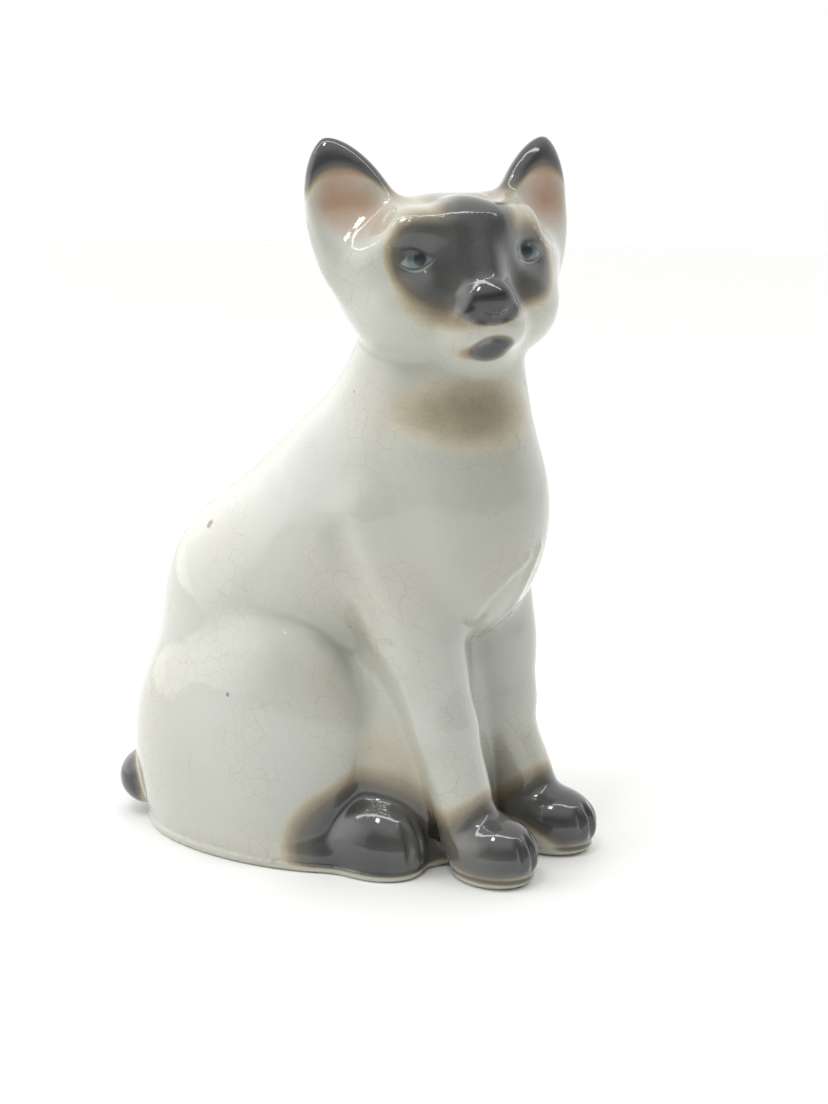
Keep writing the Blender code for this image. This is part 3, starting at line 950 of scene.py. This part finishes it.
# Small chips in the glaze: the place of each, and how wide it is.
CHIP_PLACES = on_surface(
    figurine,
    [
        at(-15.6, -24.3, 49.6),
        at(-25.2, -12.8, 26.3),
        at(-20.6, -27.5, 1.6),
        at(12.0, -30.0, 41.0),
        at(20.5, -6.0, 32.0),
    ],
)
CHIP_SIZES = (0.75, 0.34, 0.8, 0.45, 0.4)


def chips(w, place):
    """1 inside the chips, which have ragged edges."""
    ragged = w.math("MULTIPLY", w.noise(place, 1.7, 3.0).outputs[0], 0.8)
    chipped = 0.0
    for centre, size in zip(CHIP_PLACES.tolist(), CHIP_SIZES):
        offset = w.vector_math("SUBTRACT", place, tuple(centre))
        away = w.math("DIVIDE", w.vector_math("LENGTH", offset, (0, 0, 0), "Value"), size)
        chipped = w.math("MAXIMUM", chipped, w.fade(w.math("ADD", away, ragged), 1.5, 1.15))
    return chipped


# Pin specks: how many cells there are to a unit, and the share of cells that have none.
PIN_CELLS = 0.16
PINLESS = 0.73


def pin_specks(w, place):
    pins = add_node(w.tree, "ShaderNodeTexVoronoi", {"Vector": place, "Scale": PIN_CELLS}).outputs
    chosen = w.fade(w.parts(pins["Color"])[0], PINLESS - 0.01, PINLESS + 0.01)
    return w.math("MULTIPLY", w.fade(pins["Distance"], 0.05, 0.025), chosen)


COOL_CREAM = colour(0.515, 0.527, 0.478)
WARM_CREAM = colour(0.535, 0.525, 0.462)
POOLED_GLAZE_AND_SHADE = colour(0.33, 0.325, 0.27)
ROSE = colour(0.42, 0.20, 0.11)
DULL_ROSE = colour(0.34, 0.195, 0.115)
CRACK_STAIN = colour(0.33, 0.29, 0.20)
SPECK = colour(0.18, 0.15, 0.11)
CHIP_STAIN = colour(0.20, 0.165, 0.12)
DARK_CLAY = colour(0.60, 0.54, 0.44)
LIGHT_CLAY = colour(0.76, 0.71, 0.62)
CLAY_ROUGHNESS = colour(0.75, 0.75, 0.75)
GLAZE_IOR = 1.52
COAT_WEIGHT = 0.5
COAT_ROUGHNESS = 0.03


def sprayed(w, place, seal):
    """The seal coat's thickness, grainy and blotched where the spray thins out."""
    thin = w.math("MULTIPLY", seal, w.math("SUBTRACT", 1.0, seal))
    coat = seal
    for scale, detail, strength in ((2.6, 4.0, 0.55), (0.22, 2.0, 0.7)):
        noise = w.math("SUBTRACT", w.noise(place, scale, detail).outputs[0], 0.5)
        change = w.math("MULTIPLY", w.math("MULTIPLY", noise, thin), strength)
        coat = w.math("ADD", coat, change, clamp=True)
    return coat


def glaze_colours(w, place, coat, rose, pool_and_shade):
    """Cream that drifts between warm and cool, darker where glaze pools and shade is painted, under seal
    and rose.
    """
    drift = w.noise(place, 0.045, 3.0).outputs[0]
    ground = w.mix(w.fade(drift, 0.35, 0.65), COOL_CREAM, WARM_CREAM)
    # Glaze pooled in hollows and painted shade in creases and on the chest, neck and flank darken the
    # cream.
    ground = w.mix(w.math("MULTIPLY", pool_and_shade, 0.5), ground, POOLED_GLAZE_AND_SHADE)
    shade = w.mix(w.fade(coat, 0.02, 0.2), ground, seal_colour(w, coat))
    rosy = w.math("MULTIPLY", rose, w.math("SUBTRACT", 1.0, w.fade(coat, 0.2, 0.75)))
    rose_tone = w.mix(w.noise(place, 0.3, 2.0).outputs[0], ROSE, DULL_ROSE)
    return w.mix(w.math("MULTIPLY", rosy, 0.95), shade, rose_tone)


def glaze_relief(w, place, crack, chipped):
    """Glaze lies in slow ripples and sinks into its cracks and chips. In units."""
    ripple = w.noise(place, 0.30, 2.0, 0.3).outputs[0]
    peel = w.noise(place, 1.1, 2.0).outputs[0]
    relief = w.math("ADD", w.math("MULTIPLY", ripple, 0.10), w.math("MULTIPLY", peel, 0.012))
    relief = w.math("SUBTRACT", relief, w.math("MULTIPLY", crack, 0.010))
    relief = w.math("SUBTRACT", relief, w.math("MULTIPLY", chipped, 0.10))
    inputs = {"Height": relief, "Strength": 1.0, "Distance": UNIT}
    return add_node(w.tree, "ShaderNodeBump", inputs).outputs[0]


def glaze_material(name):
    """Clear glaze over a cream body with airbrushed colours, painted shade, crazing, specks and an unglazed
    foot.
    """
    material = bpy.data.materials.new(name)
    material.use_nodes = True
    tree = material.node_tree
    tree.nodes.clear()
    w = Wiring(tree)
    place = w.attribute("place")["Vector"]
    head_place = w.attribute("head_place")["Vector"]
    seal, rose, pool_and_shade = w.parts(w.attribute("paint_and_shade")["Vector"])

    coat = sprayed(w, place, seal)
    shade = painted_eyes(w, glaze_colours(w, place, coat, rose, pool_and_shade), head_place)
    bare = w.math("SUBTRACT", 1.0, w.fade(coat, 0.15, 0.6))
    crack = w.math("MULTIPLY", crazing(w, place), bare)
    shade = w.mix(w.math("MULTIPLY", crack, 0.36), shade, CRACK_STAIN)
    specks = w.math("MULTIPLY", pin_specks(w, place), bare)
    shade = w.mix(w.math("MULTIPLY", specks, 0.6), shade, SPECK)
    chipped = chips(w, place)
    shade = w.mix(w.math("MULTIPLY", chipped, 0.8), shade, CHIP_STAIN)

    # The foot was wiped bare before firing.
    normal = add_node(w.tree, "ShaderNodeNewGeometry").outputs["Normal"]
    facing_down = w.fade(w.parts(normal)[2], -0.75, -0.92)
    under = w.math("MULTIPLY", facing_down, w.fade(w.parts(place)[2], 0.5, 0.2))
    shade = w.mix(under, shade, w.mix(w.noise(place, 1.4, 5.0).outputs[0], DARK_CLAY, LIGHT_CLAY))

    smear = w.fade(w.noise(place, 0.12, 4.0).outputs[0], 0.35, 0.75, 0.05, 0.14)
    dry = w.math("MAXIMUM", under, w.math("MULTIPLY", chipped, 0.7))
    shader = add_node(
        tree,
        "ShaderNodeBsdfPrincipled",
        {
            "Base Color": shade,
            "Roughness": w.mix(dry, smear, CLAY_ROUGHNESS),
            "Normal": glaze_relief(w, place, crack, chipped),
            "IOR": GLAZE_IOR,
            "Coat Weight": w.math("MULTIPLY", w.math("SUBTRACT", 1.0, under), COAT_WEIGHT),
            "Coat Roughness": COAT_ROUGHNESS,
        },
    )
    out = add_node(tree, "ShaderNodeOutputMaterial")
    tree.links.new(shader.outputs[0], out.inputs["Surface"])
    return material


# ---- The glazed pieces

PIECES = {
    "body_shell": ("glazed_body", "ivory_glaze"),
    "head_shell": ("glazed_head", "ivory_glaze"),
    "ear_left": ("glazed_ear_left", "seal_glaze"),
    "ear_right": ("glazed_ear_right", "seal_glaze"),
    "foreleg_left": ("glazed_foreleg_left", "ivory_glaze"),
    "foreleg_right": ("glazed_foreleg_right", "ivory_glaze"),
    "hind_paw_left": ("glazed_hind_paw_left", "seal_glaze"),
    "hind_paw_right": ("glazed_hind_paw_right", "seal_glaze"),
    "tail": ("glazed_tail", "seal_glaze"),
}


def add_attribute(mesh, name, rows):
    attribute = mesh.attributes.new(name, "FLOAT_VECTOR", "POINT")
    attribute.data.foreach_set("vector", np.ascontiguousarray(rows, f32).ravel())


def build_piece(node, skin, triangles, owners):
    """One closed piece from its share of the skin, with its colours and its smooth normals."""
    used, index = np.unique(triangles, return_inverse=True)
    piece_name, slot = PIECES[node]
    mesh = bpy.data.meshes.new(piece_name)
    mesh.from_pydata((skin["points"][used] * UNIT).tolist(), [], index.reshape(-1, 3).tolist())
    mesh.update()
    mesh.shade_smooth()
    bm = bmesh.new()
    bm.from_mesh(mesh)
    bm.verts.ensure_lookup_table()
    cap_openings(bm, node, used, owners)
    bm.to_mesh(mesh)
    bm.free()
    caps = len(mesh.vertices) - len(used)
    padded = np.concatenate([used, np.full(caps, used[0])])
    places = np.empty(len(mesh.vertices) * 3, f32)
    mesh.vertices.foreach_get("co", places)
    add_attribute(mesh, "place", places.reshape(-1, 3) / UNIT)
    add_attribute(mesh, "head_place", to_head(places.reshape(-1, 3) / f32(UNIT)))
    add_attribute(mesh, "paint_and_shade", skin["paint_and_shade"][padded])
    mesh.normals_split_custom_set_from_vertices(skin["normals"][padded].tolist())
    piece = bpy.data.objects.new(piece_name, mesh)
    bpy.context.scene.collection.objects.link(piece)
    mesh.materials.append(GLAZES[slot])
    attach(piece, "root")
    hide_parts(node)
    return piece


def border_owners(castings):
    """The castings on the two sides of each edge where castings meet."""
    owners = {}
    for node, share in castings.items():
        edges = np.sort(np.concatenate([share[:, [0, 1]], share[:, [1, 2]], share[:, [2, 0]]]), axis=1)
        unique, counts = np.unique(edges, axis=0, return_counts=True)
        for edge in map(tuple, unique[counts == 1].tolist()):
            owners.setdefault(edge, []).append(node)
    return owners


# The field is sampled this far beyond the CAD's box, and points below this height are on the floor.
FIELD_MARGIN = 3
FLOOR_TOUCH = 0.02


def build_figurine():
    low, high = np.array(CAD_LOW, f32) / f32(UNIT), np.array(CAD_HIGH, f32) / f32(UNIT)
    points, quads = mesh_field(figurine, low - FIELD_MARGIN, high + FIELD_MARGIN, VOXEL)
    triangles = np.concatenate([quads[:, [0, 1, 2]], quads[:, [0, 2, 3]]]).astype(np.int64)
    points, castings = part_castings(points, triangles)
    slopes = gradient(figurine, points)
    normals = slopes / np.maximum(length(slopes), 1e-6)[:, None]
    normals[points[:, 2] < FLOOR_TOUCH] = (0, 0, -1)
    paint_and_shade = np.stack([seal_paint(points, normals), rose_paint(points), pooling_and_shade(points, normals)], 1)
    skin = {"points": points, "normals": normals, "paint_and_shade": paint_and_shade}
    owners = border_owners(castings)
    for node, share in castings.items():
        build_piece(node, skin, share, owners)


# ---- Stage, light and camera

CAMERA_AZIMUTH = math.radians(-55)
CAMERA_RISE = math.radians(12)
CAMERA_DISTANCE = 254.0
CAMERA_TARGET = at(2.0, 2.3, 45.0)
CAMERA_LENS = 54.0


def direction(azimuth, rise):
    """The way from the figurine towards a viewer at this azimuth and rise."""
    return Vector(
        (math.sin(azimuth) * math.cos(rise), -math.cos(azimuth) * math.cos(rise), math.sin(rise))
    )


def aim(obj, target):
    obj.rotation_euler = (Vector(target) - obj.location).to_track_quat("-Z", "Y").to_euler()


def add_light(name, azimuth, rise, distance, size, power):
    """A rectangular soft light that faces the figurine. Angles are in degrees and the rest in metres."""
    light = bpy.data.lights.new(name, "AREA")
    light.shape = "RECTANGLE"
    light.size, light.size_y = size
    light.energy = power
    lamp = bpy.data.objects.new(name, light)
    bpy.context.scene.collection.objects.link(lamp)
    middle = Vector((0, 0, 0.05))
    lamp.location = middle + direction(math.radians(azimuth), math.radians(rise)) * distance
    aim(lamp, middle)


FLOOR_HALF = 3.0
FLOOR_COLOUR = colour(0.93, 0.935, 0.925)
FLOOR_ROUGHNESS = 0.6


def build_stage():
    bm = bmesh.new()
    sides = (-1, -1), (1, -1), (1, 1), (-1, 1)
    bm.faces.new([bm.verts.new((x * FLOOR_HALF, y * FLOOR_HALF, 0)) for x, y in sides])
    mesh = bpy.data.meshes.new("floor")
    bm.to_mesh(mesh)
    bm.free()
    floor = bpy.data.objects.new("floor", mesh)
    bpy.context.scene.collection.objects.link(floor)
    material = bpy.data.materials.new("pale_floor")
    material.use_nodes = True
    shader = material.node_tree.nodes["Principled BSDF"]
    shader.inputs["Base Color"].default_value = FLOOR_COLOUR
    shader.inputs["Roughness"].default_value = FLOOR_ROUGHNESS
    mesh.materials.append(material)


# The room's light: bright behind the figurine, dim behind the viewer, with a broad soft window to
# the left of the viewer and a little behind the figurine, and bright overhead.
BRIGHT_ROOM = colour(1.12, 1.13, 1.12)
DIM_ROOM_LOW = colour(0.37, 0.38, 0.37)
DIM_ROOM_HIGH = colour(0.045, 0.05, 0.045)
WINDOW_GLOW = colour(2.15, 2.16, 2.13)
WINDOW_AZIMUTH = math.radians(-160)
WINDOW_RISE = math.radians(30)
OVERHEAD = colour(1.1, 1.11, 1.09)
BACKDROP = colour(1.0, 1.0, 0.995)


def build_light():
    world = bpy.data.worlds.new("pale_room")
    bpy.context.scene.world = world
    world.use_nodes = True
    tree = world.node_tree
    tree.nodes.clear()
    w = Wiring(tree)
    way = add_node(tree, "ShaderNodeTexCoord").outputs["Generated"]
    rise = w.parts(way)[2]
    viewer = direction(CAMERA_AZIMUTH, CAMERA_RISE)
    window = direction(WINDOW_AZIMUTH, WINDOW_RISE)
    to_viewer = w.vector_math("DOT_PRODUCT", way, tuple(viewer), "Value")
    to_window = w.vector_math("DOT_PRODUCT", way, tuple(window), "Value")
    dim_room = w.mix(w.fade(rise, 0.0, 0.4), DIM_ROOM_LOW, DIM_ROOM_HIGH)
    room = w.mix(w.fade(to_viewer, -0.45, 0.35), BRIGHT_ROOM, dim_room)
    room = w.mix(w.fade(to_window, 0.45, 0.95), room, WINDOW_GLOW)
    room = w.mix(w.fade(rise, 0.45, 0.9), room, OVERHEAD)
    # Seen straight on, the room is a plain pale backdrop.
    seen = add_node(tree, "ShaderNodeLightPath").outputs["Is Camera Ray"]
    room = w.mix(seen, room, BACKDROP)
    background = add_node(tree, "ShaderNodeBackground", {"Color": room, "Strength": 1.0})
    out = add_node(tree, "ShaderNodeOutputWorld")
    tree.links.new(background.outputs[0], out.inputs["Surface"])
    add_light("overhead_strip", azimuth=-55, rise=79, distance=0.6, size=(1.3, 0.05), power=1.4)
    add_light("window", azimuth=-85, rise=64, distance=0.7, size=(0.07, 0.12), power=0.55)


def build_camera():
    camera = bpy.data.cameras.new("camera")
    camera.lens = CAMERA_LENS
    viewer = bpy.data.objects.new("camera", camera)
    bpy.context.scene.collection.objects.link(viewer)
    target = Vector(map(float, CAMERA_TARGET)) * UNIT
    viewer.location = target + direction(CAMERA_AZIMUTH, CAMERA_RISE) * CAMERA_DISTANCE * UNIT
    aim(viewer, target)
    bpy.context.scene.camera = viewer


GLAZES = {slot: glaze_material(slot) for slot in ("ivory_glaze", "seal_glaze")}
build_figurine()
build_stage()
build_light()
build_camera()
bpy.context.scene.view_settings.view_transform = "Standard"
